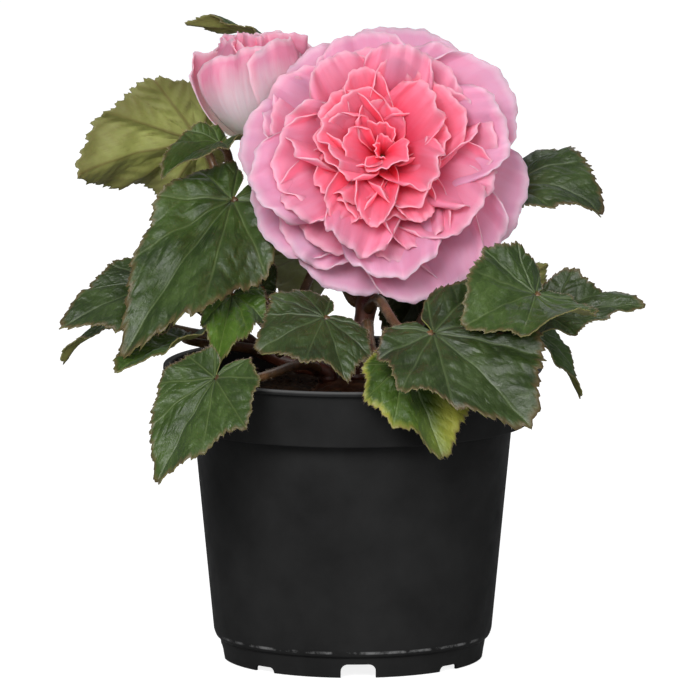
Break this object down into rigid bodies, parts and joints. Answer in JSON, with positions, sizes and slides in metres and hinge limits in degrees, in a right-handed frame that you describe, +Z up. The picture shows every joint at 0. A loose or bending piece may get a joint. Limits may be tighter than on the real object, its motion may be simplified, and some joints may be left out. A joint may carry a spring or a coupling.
{
  "type": "potted plant",
  "caption": "Tuberous begonia with a double flower, toothed leaves and fleshy stems, growing in a round plastic nursery pot.",
  "frame": {"origin": "centre of the circle that the pot's foot stands on, on the pot's axis", "axes": "+Z up along the pot's axis, the plant's front towards -Y, +X to the viewer's right"},
  "size_m": [0.1864, 0.1573, 0.2012],
  "materials": {
    "black_plastic": "satin",
    "peat": "matte",
    "tuber_skin": "matte",
    "stem": "satin",
    "leaf": "satin",
    "petal_pink": "matte",
    "petal_coral": "matte"
  },
  "bodies": {
    "root": {"flower_stalk": "stem", "heart_petal_1": "petal_coral", "heart_petal_2": "petal_coral", "heart_petal_3": "petal_coral", "heart_petal_4": "petal_coral", "leaf_front_left": "leaf", "leaf_front_middle": "leaf", "leaf_front_right": "leaf", "leaf_left_bright": "leaf", "leaf_left_folded": "leaf", "leaf_left_hidden": "leaf", "leaf_left_inner": "leaf", "leaf_left_large": "leaf", "leaf_left_low": "leaf", "leaf_left_tip": "leaf", "leaf_left_top": "leaf", "leaf_rear_left": "leaf", "leaf_rear_right": "leaf", "leaf_rear_top": "leaf", "leaf_right_bright": "leaf", "leaf_right_brown": "leaf", "leaf_right_large": "leaf", "leaf_right_low": "leaf", "leaf_right_outer": "leaf", "leaf_right_top": "leaf", "outer_petal_1": "petal_pink", "outer_petal_2": "petal_pink", "outer_petal_3": "petal_pink", "outer_petal_4": "petal_pink", "outer_petal_5": "petal_pink", "outer_petal_6": "petal_pink", "outer_petal_7": "petal_pink", "outer_petal_8": "petal_pink", "pot": "black_plastic", "rear_flower_stalk": "stem", "rear_petal_1": "petal_pink", "rear_petal_2": "petal_pink", "rear_petal_3": "petal_pink", "rear_petal_4": "petal_pink", "rear_petal_5": "petal_pink", "rear_petal_6": "petal_pink", "second_petal_1": "petal_pink", "second_petal_2": "petal_pink", "second_petal_3": "petal_pink", "second_petal_4": "petal_pink", "second_petal_5": "petal_pink", "second_petal_6": "petal_pink", "second_petal_7": "petal_pink", "second_petal_8": "petal_pink", "soil": "peat", "stem_left": "stem", "stem_middle": "stem", "stem_right": "stem", "third_petal_1": "petal_coral", "third_petal_2": "petal_coral", "third_petal_3": "petal_coral", "third_petal_4": "petal_coral", "third_petal_5": "petal_coral", "third_petal_6": "petal_coral", "tuber": "tuber_skin"}
  },
  "joints": []
}
